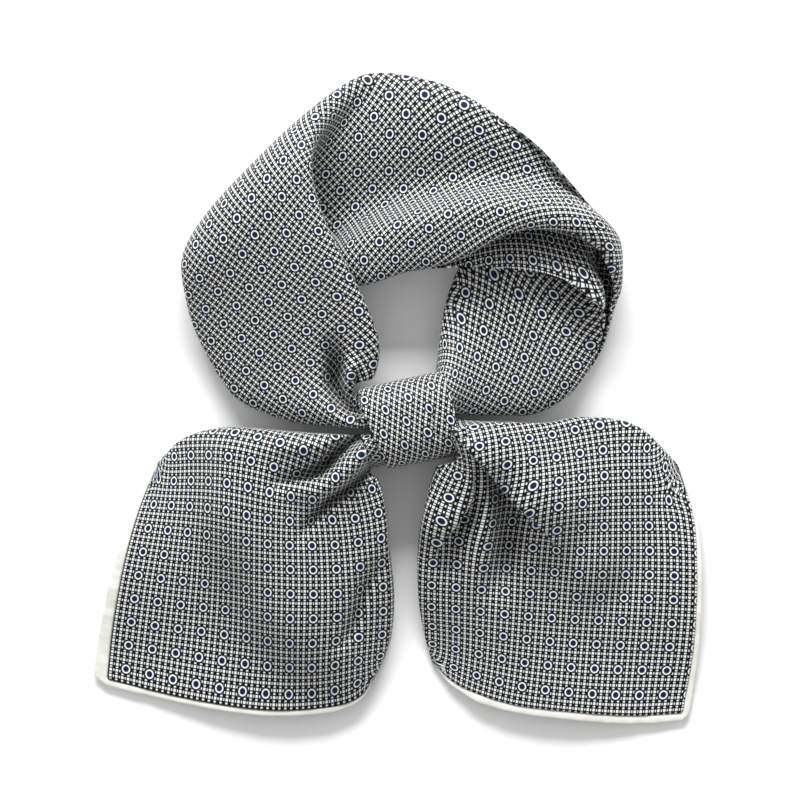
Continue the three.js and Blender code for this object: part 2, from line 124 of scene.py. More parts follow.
def oval(width, thickness, inner_round, outer_round, gap, count, below=False):
    """Even places round a flat oval, from one side of its slit to the other.

    The slit is at the outer edge, or below the middle. A round of 1 is an ellipse's, less is squarer.
    """
    fine = 900
    if below:
        opening = np.arcsin((gap / width) ** (1 / outer_round))
        start = -np.pi / 2 - opening
    else:
        opening = np.arcsin((gap / thickness) ** (1 / outer_round))
        start = np.pi - opening
    angle = start - np.linspace(0, 2 * (np.pi - opening), fine)
    c, s = np.cos(angle), np.sin(angle)
    power = np.where(c > 0, inner_round, outer_round)
    across = np.sign(c) * np.abs(c) ** power
    up = np.sign(s) * np.abs(s) ** power
    steps = np.hypot(np.diff(across) * width / 2, np.diff(up) * thickness / 2)
    walked = np.concatenate([[0], np.cumsum(steps)])
    goal = np.linspace(0, walked[-1], count)
    return np.interp(goal, walked, across), np.interp(goal, walked, up)


# The band before it is turned over itself, from the left end at the knot to the right end.
# along: share of the loop length; inner, outer: its edges, shares of the band width;
# inner_lift, outer_lift: height of its middle, and puff: its thickness, shares of the band
# thickness; lip: how far the mouth opens the outer edge, share of the width; inner_round and
# outer_round: how round each edge is; ridge: how far the lower lip stands up, millimetres
BAND = table(
    "along inner outer inner_lift outer_lift puff lip inner_round outer_round ridge",
    (-0.500, 0.050, -0.500, -0.35, -0.35, 1.10, 0, 0.7, 0.8, 0),
    (-0.469, 0.250, -0.570, -0.35, -0.74, 1.10, 0, 0.7, 0.8, 0),
    (-0.434, 0.295, -0.620, -0.20, -0.89, 1.08, 0, 0.6, 0.9, 0),
    (-0.386, 0.305, -0.680, 0.10, -0.89, 1.05, 0, 0.6, 1.0, 0),
    (-0.324, 0.275, -0.700, 0.45, -0.74, 1.00, 0, 0.6, 1.0, 0),
    (-0.262, 0.256, -0.637, 0.56, -0.20, 0.96, 0, 0.6, 1.0, 0),
    (-0.207, 0.307, -0.560, 0.56, 0.20, 0.92, 0, 0.6, 0.9, 0),
    (-0.152, 0.490, -0.520, 0.43, 0.38, 0.92, 0, 0.7, 0.8, 0),
    (-0.097, 0.720, -0.500, 0.43, 0.40, 0.94, 0, 0.8, 0.7, 0),
    (-0.021, 0.807, -0.477, 1.15, 1.15, 0.96, 0, 0.8, 0.7, 0),
    (0.028, 0.785, -0.300, 1.50, 1.45, 1.02, 0, 0.8, 0.7, 0),
    (0.076, 0.725, -0.185, 1.70, 1.65, 1.08, 0.04, 0.8, 0.7, 1),
    (0.124, 0.645, -0.105, 1.80, 1.75, 1.15, 0.22, 0.8, 0.7, 3),
    (0.172, 0.510, -0.046, 1.85, 1.75, 1.08, 0.27, 0.8, 0.7, 4),
    (0.214, 0.395, -0.045, 1.75, 1.75, 0.92, 0.27, 0.8, 0.7, 4),
    (0.248, 0.350, -0.100, 1.72, 1.72, 0.74, 0.20, 0.8, 0.7, 3),
    (0.290, 0.400, -0.100, 1.62, 1.66, 0.62, 0.03, 0.8, 0.8, 0),
    (0.324, 0.480, -0.260, 1.75, 1.66, 0.80, 0, 0.8, 0.8, 0),
    (0.366, 0.530, -0.420, 2.00, 1.74, 1.04, 0, 0.8, 0.8, 0),
    (0.414, 0.550, -0.480, 2.02, 1.74, 1.06, 0, 0.8, 0.8, 0),
    (0.455, 0.500, -0.430, 2.00, 1.85, 1.10, 0, 0.8, 0.8, 0),
    (0.479, 0.270, -0.400, 2.25, 2.05, 1.14, 0, 0.8, 0.8, 0),
    (0.500, 0.030, -0.340, 2.30, 2.20, 1.16, 0, 0.8, 0.8, 0),
)

# The two lines the band is turned over: where each crosses its middle, its lean from
# square, the end that turns, the turn's radius, and whether that end goes up or under
TURNS = (
    (-0.1293 * LOOP_LENGTH, np.radians(24.5), -1, LEFT_TURN_RADIUS, 1),
    (0.2265 * LOOP_LENGTH, np.radians(19.9), 1, RIGHT_TURN_RADIUS, -1),
)


def turned(along, across, lift, off):
    """Where a place of the flat band comes to lie; off is its distance above the middle."""
    x, y, z = along, across, lift + off
    for at, lean, side, radius, rise in TURNS:
        nx, ny = side * np.cos(lean), np.sin(lean)
        past = (x - at) * nx + y * ny
        angle = np.clip(past / radius, 0, np.pi)
        over = np.maximum(past - np.pi * radius, 0)
        reach = (radius - rise * off) * np.sin(angle) - over
        gone = past > 0
        x = np.where(gone, x + (reach - past) * nx, x)
        y = np.where(gone, y + (reach - past) * ny, y)
        z = np.where(gone, lift + rise * (radius - (radius - rise * off) * np.cos(angle)), z)
    c, s = np.cos(BACK_BAND_ANGLE), np.sin(BACK_BAND_ANGLE)
    return np.stack([x * c - y * s, x * s + y * c, z], -1)


def band_end(along):
    inner, outer = (smooth(BAND, name, along) * BAND_WIDTH for name in ("inner", "outer"))
    return turned(along * LOOP_LENGTH, (inner + outer) / 2, 0.0, 0.0)[:2]


KNOT_CENTRE = (band_end(-0.5) + band_end(0.5)) / 2
KNOT_CENTRE = KNOT_CENTRE + (0.24 * KNOT_LENGTH, -0.17 * KNOT_HEIGHT)
low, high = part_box("knot_wrap")
SHIFT = np.array([(low.x + high.x) / 2 / MM, (low.y + high.y) / 2 / MM, low.z / MM])
SHIFT[:2] -= KNOT_CENTRE


def by_knot(x, y, z):
    """A place along the knot's axis, across it and up from the table."""
    c, s = np.cos(KNOT_TURN), np.sin(KNOT_TURN)
    return np.stack(np.broadcast_arrays(
        KNOT_CENTRE[0] + x * c - y * s, KNOT_CENTRE[1] + x * s + y * c, z), -1)


def clear_of_knot(p, level):
    """Points pushed out round the knot, and kept to their side of a line beside it."""
    c, s = np.cos(KNOT_TURN), np.sin(KNOT_TURN)
    dx, dy = p[..., 0] - KNOT_CENTRE[0], p[..., 1] - KNOT_CENTRE[1]
    x, y = dx * c + dy * s, -dx * s + dy * c
    corner = 2 ** (1 / CLEAR_POWER)
    share = ((np.abs(x) / ((KNOT_LENGTH / 2 + CLEAR) * corner)) ** CLEAR_POWER
             + (np.abs(y) / ((KNOT_HEIGHT / 2 + CLEAR) * corner)) ** CLEAR_POWER) ** (1 / CLEAR_POWER)
    inside = share < 1
    share = np.maximum(share, 1e-6)
    x, y = np.where(inside, x / share, x), np.where(inside, y / share, y)
    beside = np.abs(x) - KNOT_LENGTH / 2
    parting = beside * np.where(x > 0, RIGHT_PARTING, LEFT_PARTING)
    kept = parting + level * np.maximum(level * (y - parting), 0.8)
    y = np.where(beside > 0, mix(kept, y, ease(22, 46, beside)), y)
    return by_knot(x, y, p[..., 2])


NECK_WIDTH = (KNOT_HEIGHT - 2 * KNOT_WALL - 3 * SEAT_GAP) / 2
NECK_HEIGHT = KNOT_DEPTH - 2 * KNOT_WALL - 2 * SEAT_GAP
NECK_MIDDLE = (NECK_WIDTH + SEAT_GAP) / 2
NECK_ROUND = 0.72


def neck_place(side, level, depth, across, up):
    """A place on a gathered end: depth 0 just outside the knot's rim and 1 near its middle."""
    x = side * mix(KNOT_LENGTH / 2 + 2 * SEAT_GAP, SEAT_GAP + 0.6, depth)
    y = level * NECK_MIDDLE + across * (NECK_WIDTH - RIM) / 2
    rim = np.abs(y) / (KNOT_HEIGHT / 2 - KNOT_WALL - SEAT_GAP - 0.6)
    rounded = (1 - np.minimum(rim, 1) ** (2 / NECK_ROUND)) ** (NECK_ROUND / 2)
    return by_knot(x, y, KNOT_DEPTH / 2 + up * rounded * (NECK_HEIGHT - RIM) / 2)


def laid_out(flat, corners, lengths, rounds, free, pull):
    """Places on flat cloth after each triangle is turned to fit and drawn to its real size.

    corners are each triangle's three points and lengths its sides 0-1, 0-2 and 1-2. free is 0
    for points that stay, and pull is how strongly the others are kept where they were.
    """
    home = flat
    first, second, third = lengths
    along = (first ** 2 + second ** 2 - third ** 2) / (2 * first)
    high = np.sqrt(np.maximum(second ** 2 - along ** 2, 1e-6))
    shape = np.stack([np.zeros_like(along), first + 0j, along + 1j * high])
    start = flat[corners]
    way = (start[:, 1] - start[:, 0]) * np.conj(start[:, 2] - start[:, 0])
    shape = np.where(np.median(way.imag) < 0, shape, np.conj(shape))
    shape = shape - shape.mean(0)
    meets = np.bincount(corners.ravel(), minlength=len(flat))
    for _ in range(rounds):
        now = flat[corners].T
        middle = now.mean(0)
        turn = ((now - middle) * np.conj(shape)).sum(0)
        turn /= np.maximum(np.abs(turn), 1e-12)
        goal = (middle + turn * shape).T.ravel()
        drawn = (np.bincount(corners.ravel(), goal.real, len(flat))
                 + 1j * np.bincount(corners.ravel(), goal.imag, len(flat)))
        flat = flat + free * (1.8 * (drawn / meets - flat) + pull * (home - flat))
    return flat


def laid_flat(points, start, free=1.0, pull=0.0):
    """Where each point of the folded cloth is on the flat cloth, from a first guess.

    The cloth gets its real size first between far points and then between close ones. A place
    on it is a complex number.
    """
    free = np.broadcast_to(free, points.shape[:2])
    pull = np.broadcast_to(pull, points.shape[:2])
    rows, columns = points.shape[:2]

    def walked(axis):
        steps = np.linalg.norm(np.diff(points, axis=axis), axis=-1)
        return np.concatenate([np.zeros_like(steps.take([0], axis)), np.cumsum(steps, axis)], axis)

    down_walk, over_walk = walked(0), walked(1)
    flat = start[..., 0] + 1j * start[..., 1]
    for step, rounds in ((10, 900), (5, 600), (2, 350), (1, 100)):
        i = np.unique(np.append(np.arange(0, rows, step), rows - 1))
        j = np.unique(np.append(np.arange(0, columns, step), columns - 1))
        few = np.ix_(i, j)
        places = points[few]
        down, over = np.diff(down_walk[few], axis=0), np.diff(over_walk[few], axis=1)

        def apart(p, q):
            return np.linalg.norm(p - q, axis=-1)

        chord_down, chord_over = apart(places[1:], places[:-1]), apart(places[:, 1:], places[:, :-1])
        chords = chord_down[:, 1:] + chord_down[:, :-1] + chord_over[1:] + chord_over[:-1]
        longer = (down[:, 1:] + down[:, :-1] + over[1:] + over[:-1]) / chords
        cross = apart(places[1:, 1:], places[:-1, :-1]) * longer
        back = apart(places[1:, :-1], places[:-1, 1:]) * longer
        index = np.arange(len(i) * len(j)).reshape(len(i), len(j))
        a, b, c, d = index[:-1, :-1], index[1:, :-1], index[1:, 1:], index[:-1, 1:]
        left, right, top, low_side = down[:, :-1], down[:, 1:], over[:-1], over[1:]
        triangles = ((a, b, c, left, cross, low_side), (a, c, d, cross, top, right),
                     (a, b, d, left, top, back), (b, c, d, low_side, back, right))
        corners = np.concatenate([np.stack(t[:3], -1).reshape(-1, 3) for t in triangles])
        lengths = [np.maximum(np.concatenate([t[k].ravel() for t in triangles]), 1e-6)
                   for k in (3, 4, 5)]
        before = flat[few]
        after = laid_out(before.ravel(), corners, lengths, rounds, free[few].ravel(), pull[few].ravel())
        after = after.reshape(before.shape)
        change = after - before
        wide = np.array([np.interp(np.arange(columns), j, line) for line in change])
        flat = flat + np.array([np.interp(np.arange(rows), i, line) for line in wide.T]).T
    return np.stack([flat.real, flat.imag], -1)


def line_through(points, count=60):
    """A smooth line through a few places, evenly walked."""
    places = np.array(points, float)
    walked = np.concatenate([[0], np.cumsum(np.linalg.norm(np.diff(places, axis=0), axis=1))])
    rows = {"walked": walked, "x": places[:, 0], "y": places[:, 1]}
    at = np.linspace(0, walked[-1], count)
    return np.stack([smooth(rows, "x", at), smooth(rows, "y", at)], -1)


def beside_line(points, line):
    """For each point: its distance to the left of a line, its share of the way along it, and
    the way that is left there."""
    run = np.diff(line, axis=0)
    to = points[:, None] - line[None, :-1]
    t = np.clip((to * run).sum(-1) / (run * run).sum(-1), 0, 1)
    off = to - t[..., None] * run
    away = np.hypot(off[..., 0], off[..., 1])
    k = away.argmin(1)
    pick = np.arange(len(points))
    off, away, t = off[pick, k], away[pick, k], t[pick, k]
    run = run[k]
    left = np.stack([-run[:, 1], run[:, 0]], -1)
    left /= np.linalg.norm(left, axis=1, keepdims=True)
    side = np.sign((off * left).sum(-1)) * away
    return side, (k + t) / (len(line) - 1), left


def folded(points, folds, where):
    """Points moved by folds; where is the share of each fold that a point takes.

    A step raises the cloth to the left of its line, and its lap pushes that edge over the right.
    """
    shape = points.shape[:-1]
    flat = points.reshape(-1, 3).copy()
    plan = flat[:, :2] + SHIFT[:2]
    take = np.broadcast_to(where, shape).reshape(-1)
    for kind, deep, wide, far, lap, start, end, places in folds:
        line = line_through(places)
        side, share, out = beside_line(plan, line)
        taper = take * ease(0, start, share) * (1 - ease(1 - end, 1, share))
        if kind == "valley":
            flat[:, 2] -= deep * taper * np.exp(-(side / wide) ** 2)
        else:
            near = np.exp(-(np.maximum(side, 0) / far) ** 2)
            flat[:, 2] += deep * taper * (0.5 + 0.5 * np.tanh(side / wide)) * near
            pushed = lap * taper * ease(-wide, wide, side) * np.exp(-(np.maximum(side, 0) / 5) ** 2)
            flat[:, :2] -= out * pushed[:, None]
    return flat.reshape(*shape, 3)


def cloth(name, points, coords, wall, material):
    """A closed sheet of even thickness on both sides of a grid, with its print's coordinates."""
    rows, columns = points.shape[:2]
    along = np.gradient(points, axis=0)
    around = np.gradient(points, axis=1)
    normal = np.cross(along, around)
    normal /= np.maximum(np.linalg.norm(normal, axis=-1, keepdims=True), 1e-9)
    both = np.concatenate([(points + normal * wall / 2).reshape(-1, 3),
                           (points - normal * wall / 2).reshape(-1, 3)])
    both = (both + SHIFT) * MM
    index = np.arange(rows * columns).reshape(rows, columns)
    half = rows * columns

    def quads(a, b, c, d):
        return np.stack([a, b, c, d], -1).reshape(-1, 4)

    a, b, c, d = index[:-1, :-1], index[1:, :-1], index[1:, 1:], index[:-1, 1:]
    faces = [quads(a, b, c, d), quads(a + half, d + half, c + half, b + half)]
    for edge, turn in ((index[:, 0], 1), (index[:, -1], -1), (index[0], -1), (index[-1], 1)):
        p, q = edge[:-1], edge[1:]
        ring = (p, p + half, q + half, q) if turn == 1 else (p, q, q + half, p + half)
        faces.append(quads(*ring))
    faces = np.concatenate(faces)
    mesh = bpy.data.meshes.new(name)
    mesh.from_pydata(both.tolist(), [], faces.tolist())
    mesh.shade_smooth()
    place = mesh.attributes.new("print", "FLOAT_VECTOR", "POINT")
    flat = np.zeros((2 * half, 3), np.float32)
    flat[:, :2] = np.concatenate([coords.reshape(-1, 2)] * 2)
    place.data.foreach_set("vector", flat.ravel())
    piece = bpy.data.objects.new(name, mesh)
    bpy.context.collection.objects.link(piece)
    mesh.materials.append(material)
    return piece


# Folds in the cloth of each piece, seen from above: kind, depth and width, how far a step
# stays up and how far its lap goes, the shares over which the fold comes up and dies away,
# and places on it in the part's frame
BACK_FOLDS = (
    ("step", -12, 4.0, 21, 0, 0.1, 0.05,
     ((-30, 44), (-20, 54), (-10, 60), (0, 64), (12, 67), (26, 70), (38, 70), (51, 69),
      (62, 67), (75, 66), (95, 66))),
    ("step", 4, 4.2, 14, 0, 0.05, 0.1,
     ((95, 66), (75, 66), (62, 67), (51, 69), (38, 70), (26, 70), (12, 67), (0, 64),
      (-10, 60), (-20, 54), (-30, 44))),
)
LOBE_FOLDS = (
    ("valley", 13, 3.0, 0, 0, 0.45, 0.02,
     ((-24, 24), (-22, 14), (-22, 6), (-20, 1), (-16.5, -2.5), (-12, -4))),
    ("valley", -3, 2.2, 0, 0, 0.3, 0.02,
     ((-15.8, 16), (-16.5, 6.3), (-17.8, 3), (-15.5, -1.2), (-12.6, -2.5))),
    ("valley", 5, 1.0, 0, 0, 0.4, 0.02, ((-13.9, 12), (-14.7, 4.6), (-13.9, 0.1), (-12.6, -1.9))),
)


def rotated(places, angle):
    """Flat places turned about their origin."""
    x, y = places[..., 0], places[..., 1]
    c, s = np.cos(angle), np.sin(angle)
    return np.stack([x * c - y * s, x * s + y * c], -1)


def neck_loop():
    """The band as one folded sheet: upper layer, rounded inner edge, lower layer."""
    along = np.linspace(-0.5, 0.5, LOOP_ROWS)
    row = {name: smooth(BAND, name, along)[:, None] for name in BAND}
    sections = [oval(BAND_WIDTH, BAND_THICKNESS, a, b, BAND_SLIT, LOOP_COLUMNS)
                for a, b in zip(row["inner_round"][:, 0], row["outer_round"][:, 0])]
    across = np.array([s[0] for s in sections])
    up = np.array([s[1] for s in sections])
    upper = up >= 0
    inner, outer = row["inner"] * BAND_WIDTH, row["outer"] * BAND_WIDTH
    lip = np.maximum(2 * np.maximum(row["lip"], 0) * BAND_WIDTH / (inner - outer) - 1, -1)
    opened = ease(0, 0.08, row["lip"])
    shifted = np.where(upper, 1 - (1 - across) * (1 - lip) / 2, across)
    power = np.where(shifted > 0, row["inner_round"], row["outer_round"])
    full = (1 - np.minimum(np.abs(shifted), 1) ** (2 / power)) ** (power / 2)
    rise = np.where(upper & (lip > -0.999), mix(up, full, opened), up)
    from_lip = (shifted - lip) * (inner - outer) / 2
    roll = 3.0
    drop = roll * (1 - np.sqrt(1 - np.clip(1 - from_lip / roll, 0, 1) ** 2))
    from_edge = (across + 1) / 2 * (inner - outer)
    ridge = row["ridge"] * (1 - ease(5, 15, from_edge) - 0.8 * ease(8, 18, from_edge))
    edge_drop = 3.5 * (1 - np.sqrt(1 - np.clip(1 - from_edge / 3.5, 0, 1) ** 2))
    off = rise * (row["puff"] * BAND_THICKNESS - SILK) / 2
    off = off - np.where(upper, drop * opened, 0) + np.where(upper, 0, (ridge - edge_drop) * opened)
    share = (shifted + 1) / 2
    lift = mix(row["outer_lift"], row["inner_lift"], share) * BAND_THICKNESS
    place = mix(outer, inner, share)
    laid = turned(along[:, None] * LOOP_LENGTH, place, lift, off)

    neck_across, neck_up = oval(NECK_WIDTH, NECK_HEIGHT, NECK_ROUND, NECK_ROUND, BAND_SLIT,
                                LOOP_COLUMNS)
    held = np.where((along < 0)[:, None, None],
                    neck_place(-1, 1, 0, neck_across, -neck_up),
                    neck_place(1, 1, 0, neck_across, -neck_up))
    from_end = (0.5 - np.abs(along))[:, None, None]
    drawn = 1 - ease(0, 0.075, from_end)
    placed = clear_of_knot(mix(laid, held, drawn), 1)
    placed[0], placed[-1] = held[0], held[-1]

    at = along[:, None]
    back = ease(0, 0.3, up) * ease(-0.15, -0.12, at) * (1 - ease(0.2, 0.24, at))
    placed = folded(placed, BACK_FOLDS, back)
    lobe = ease(0, 0.5, -up) * (at < -0.3)
    plain = placed
    placed = folded(placed, LOBE_FOLDS, lobe)
    placed[..., 2] = np.maximum(placed[..., 2], SILK / 2)

    left = [neck_place(-1, 1, depth, neck_across, -neck_up) for depth in NECK_INSIDE]
    right = [neck_place(1, 1, depth, neck_across, -neck_up) for depth in NECK_INSIDE[::-1]]
    points = np.concatenate([left, placed, right])
    eased = np.concatenate([left, mix(plain, placed, PRINT_FOLD_DEPTH), right])

    walked = np.linalg.norm(np.diff(points, axis=1), axis=-1)
    walked = np.concatenate([np.zeros((len(points), 1)), np.cumsum(walked, 1)], 1)
    ends = len(left)
    every = np.concatenate([across[:1].repeat(ends, 0), across, across[-1:].repeat(ends, 0)])
    edge = np.argmax(every, 1)
    from_inner = walked - walked[np.arange(len(points)), edge][:, None]
    inner_line = np.concatenate([inner[:1].repeat(ends), inner[:, 0], inner[-1:].repeat(ends)])
    v = inner_line[:, None] + from_inner
    u = np.concatenate([np.linspace(-12, -2, ends) - LOOP_LENGTH / 2, along * LOOP_LENGTH,
                        np.linspace(2, 12, ends) + LOOP_LENGTH / 2])[:, None] + 0 * v
    start = np.stack([u, v], -1)

    # The cloth of the mouth can't lie flat, so its print is evened out
    past = np.concatenate([along[:1].repeat(ends), along, along[-1:].repeat(ends)])[:, None]
    calm = ease(0.11, 0.17, past) * (1 - ease(0.26, 0.32, past))
    coords = laid_flat(eased, start, pull=0.002 + 0.05 * calm)
    for _ in range(120):
        around = (coords[2:, 1:-1] + coords[:-2, 1:-1] + coords[1:-1, 2:] + coords[1:-1, :-2]) / 4
        coords[1:-1, 1:-1] = mix(coords[1:-1, 1:-1], around, 0.6 * calm[1:-1, :, None])

    angle = LOBE_PRINT_TURN * ease(0.12, 0.38, past)
    pivot = (TURNS[1][0], inner_line.mean() - BAND_WIDTH / 2)
    coords = rotated(rotated(coords - pivot, angle) + pivot, np.pi / 4)
    return points, coords


def edge(*places):
    """The line of one edge of a tail: places (out, down), smooth by share of the way."""
    shares = np.linspace(0, 1, len(places))
    return table("share out down", *[(share, *place) for share, place in zip(shares, places)])


# The four edges of each tail, seen from above. out: share of the tail's width away from the
# knot's side; down: share of its length towards the corner
LEFT_EDGES = {
    "top": edge((0.01, 0), (0.28, -0.07), (0.52, -0.095), (0.69, -0.05), (0.795, 0.06)),
    "side": edge((0.795, 0.06), (0.867, 0.27), (0.923, 0.5), (0.963, 0.75), (0.985, 0.985)),
    "bottom": edge((-0.03, 0.965), (0.05, 1.072), (0.21, 1.112), (0.42, 1.115), (0.7, 1.065), (0.985, 0.985)),
    "inner": edge((0.01, 0), (-0.065, 0.2), (-0.075, 0.38), (-0.095, 0.62), (-0.08, 0.82), (-0.03, 0.965)),
}
RIGHT_EDGES = {
    "top": edge((-0.01, 0), (0.32, -0.03), (0.56, -0.055), (0.8, -0.025), (0.98, 0.115)),
    "side": edge((0.98, 0.115), (1.045, 0.3), (1.06, 0.52), (1.045, 0.77), (1, 1)),
    "bottom": edge((-0.06, 0.82), (0.05, 0.9), (0.26, 0.965), (0.52, 0.995), (0.78, 1.01), (1, 1)),
    "inner": edge((-0.01, 0), (-0.085, 0.16), (-0.12, 0.4), (-0.118, 0.58), (-0.095, 0.71), (-0.06, 0.82)),
}


def edge_at(rows, share):
    return np.stack([smooth(rows, "out", share), smooth(rows, "down", share)], -1)


def tail_plan(edges, out, down):
    """A place of a tail blended from its four edges."""
    top, bottom = edge_at(edges["top"], out), edge_at(edges["bottom"], out)
    inner, side = edge_at(edges["inner"], down), edge_at(edges["side"], down)
    corners = [edge_at(edges[name], np.array(share)) for name, share in
               (("top", 0.0), ("top", 1.0), ("bottom", 0.0), ("bottom", 1.0))]
    out, down = out[..., None], down[..., None]
    return (mix(top, bottom, down) + mix(inner, side, out)
            - mix(mix(corners[0], corners[1], out), mix(corners[2], corners[3], out), down))


LEFT_FOLDS = (
    ("step", 12, 7, 70, 0, 0.1, 0.45,
     ((-67, -4), (-65, -16), (-64, -38), (-60, -51), (-55, -61), (-48, -76), (-38, -87),
      (-24, -96), (-4, -102), (16, -104))),
    ("valley", -5, 5, 0, 0, 0.1, 0.5, ((-11, -8), (-27, -14), (-40, -15), (-52, -18))),
    ("valley", -4, 5, 0, 0, 0.1, 0.5, ((-8, -16), (-16, -23), (-26, -30), (-35, -30), (-46, -31))),
    ("valley", 14, 2.6, 0, 0, 0.02, 0.6,
     ((-8, -10), (-20, -17), (-24, -21), (-28, -24), (-38, -27), (-48, -30))),
    ("valley", 10, 2.0, 0, 0, 0.02, 0.6,
     ((-6, -18), (-14, -27), (-19, -31), (-25, -35), (-31, -42), (-35, -52))),
    ("valley", 5, 2.2, 0, 0, 0.3, 0.4,
     ((-5, -52), (-9, -58), (-12, -63), (-15, -72), (-18, -80), (-24, -87))),
)
RIGHT_FOLDS = (
    ("step", 12, 0.6, 22, 4.0, 0.02, 0.4,
     ((16, -3), (20, -8), (27, -16), (34, -24), (40, -31.5), (46, -38), (50, -44), (53, -49),
      (56, -54))),
    ("step", 5, 4, 22, 0, 0.4, 0.4,
     ((38, -28), (46, -37), (52, -46), (56, -54), (57.5, -62), (56, -70), (52, -78))),
    ("valley", 11, 5, 0, 0, 0.25, 0.5,
     ((29, -19), (33.6, -27), (36.2, -34.5), (36.6, -43.6), (35.5, -54), (33, -63), (28, -71))),
    ("valley", -4, 4, 0, 0, 0.1, 0.5,
     ((23, -10), (25, -16), (28, -25), (30, -34.5), (29.4, -43.6), (28, -54), (25, -63), (21, -70))),
    ("step", 8, 0.7, 14, 2.8, 0.35, 0.02,
     ((9, -56), (12.7, -50), (15, -45), (18.4, -40), (21.8, -34.5), (22.9, -27), (22.9, -18.6),
      (20.3, -9.5))),
    ("valley", 5, 3.5, 0, 0, 0.3, 0.5,
     ((24, -30), (22.2, -39), (19, -45), (17, -51), (16, -58), (14, -64))),
    ("valley", 2, 7, 0, 0, 0.4, 0.4,
     ((84, -20), (83, -34), (82, -49), (78, -62), (70, -68), (60, -71), (50, -73))),
)


def tail(side, size, edges, folds, print_start):
    """A tail as one folded sheet: upper layer, rounded top and inner edges, lower layer.

    Reach is 0 at the knot and 1 at the hems; round is 0 at the top edge and 1 at the inner one.
    """
    width, length = size
    across, up = oval(length, TAIL_THICKNESS, 0.6, 0.6, 0.12 * length, TAIL_COLUMNS, below=True)
    neck_across, neck_up = oval(NECK_WIDTH, NECK_HEIGHT, NECK_ROUND, NECK_ROUND, BAND_SLIT,
                                TAIL_COLUMNS, below=True)
    even = np.linspace(0, 1, TAIL_COLUMNS)
    finer = even + 0.1125 / np.pi * np.sin(4 * np.pi * even) + 0.10 * np.sin(2 * np.pi * even)
    across, up, neck_across, neck_up = (np.interp(finer, even, values)
                                        for values in (across, up, neck_across, neck_up))
    reach = (np.linspace(0, 1, TAIL_ROWS) ** 1.2)[:, None]
    round_ = np.broadcast_to((across + 1) / 2, (TAIL_ROWS, TAIL_COLUMNS))
    kept = reach * (1 + 0.06 * np.minimum(up, 0))
    first = across < 0
    out = np.where(first, kept, 2 * (1 - round_) * kept)
    down = np.where(first, 2 * round_ * kept, kept)
    plan = tail_plan(edges, out, down)
    root = neck_place(side, -1, 0, 0.0, 0.0)
    x = root[0] + side * plan[..., 0] * width
    y = root[1] - plan[..., 1] * length
    far = ((out ** 4 + down ** 4) / 2) ** 0.25
    low = 0.30 + 0.4 * np.sin(2 * np.pi * round_) ** 2
    puff = TAIL_THICKNESS * mix(1.6, low, ease(0.1, 0.95, far))
    lift = mix(KNOT_DEPTH / 2, puff / 2, ease(0, 0.75, far))
    z = lift + (puff - RIM) / 2 * up
    laid = np.stack([x, y, z], -1)
    held = neck_place(side, -1, 0, -neck_across, neck_up)
    drawn = (1 - ease(0, 0.38, reach))[..., None]
    placed = mix(laid, held, drawn)
    placed[1:] = clear_of_knot(placed[1:], -1)
    upper = ease(0.0, 0.5, up) * ease(0, 0.06, reach)
    plain = placed
    placed = folded(placed, folds, upper)
    placed[..., 2] = np.maximum(placed[..., 2], SILK / 2)
    necks = [neck_place(side, -1, depth, -neck_across, neck_up) for depth in NECK_INSIDE]
    points = np.concatenate([necks, placed])
    eased = np.concatenate([necks, mix(plain, placed, PRINT_FOLD_DEPTH)])

    # First guess of the flat cloth: its corner at the hems' corner, spread wide at the knot
    wide, long = width / 0.75, length / 0.75
    inside = np.linspace(-0.17, -0.03, len(necks))
    spread = 0.25 + 0.75 * np.concatenate([inside, reach[:, 0]])[:, None]
    guess = np.stack([side * np.where(first, spread, 2 * (1 - round_[0]) * spread) * wide,
                      -np.where(first, 2 * round_[0] * spread, spread) * long], -1)
    edge_of = np.where(first[None, :, None],
                       guess[:, [np.argmin(across)]], guess[:, [np.argmax(across)]])
    start = np.where((up < 0)[None, :, None], 2 * edge_of - guess, guess)
    start[..., 0] -= side * wide
    start[..., 1] += long

    # The print lies straight along both hems
    on_hem = np.flatnonzero(up > HEM_END)
    rail = placed[-1][on_hem]
    walked = np.concatenate([[0], np.cumsum(np.linalg.norm(np.diff(rail, axis=0), axis=1))])
    from_corner = walked - np.interp(0.5, round_[-1][on_hem], walked)
    start[-1, on_hem, 0] = -side * np.maximum(from_corner, 0)
    start[-1, on_hem, 1] = np.maximum(-from_corner, 0)
    free = np.ones(points.shape[:2])
    free[-1, on_hem] = 0
    coords = laid_flat(eased, start, free) + print_start
    return points, coords, rail


KNOT_FOLDS = (
    ("valley", 1.4, 1.1, 0, 0, 0.3, 0.3, ((10.5, -2), (11, -5), (12, -11), (14.5, -15))),
    ("valley", -0.8, 2.0, 0, 0, 0.3, 0.3, ((8.5, -3), (9, -6), (10, -12), (12, -16))),
)


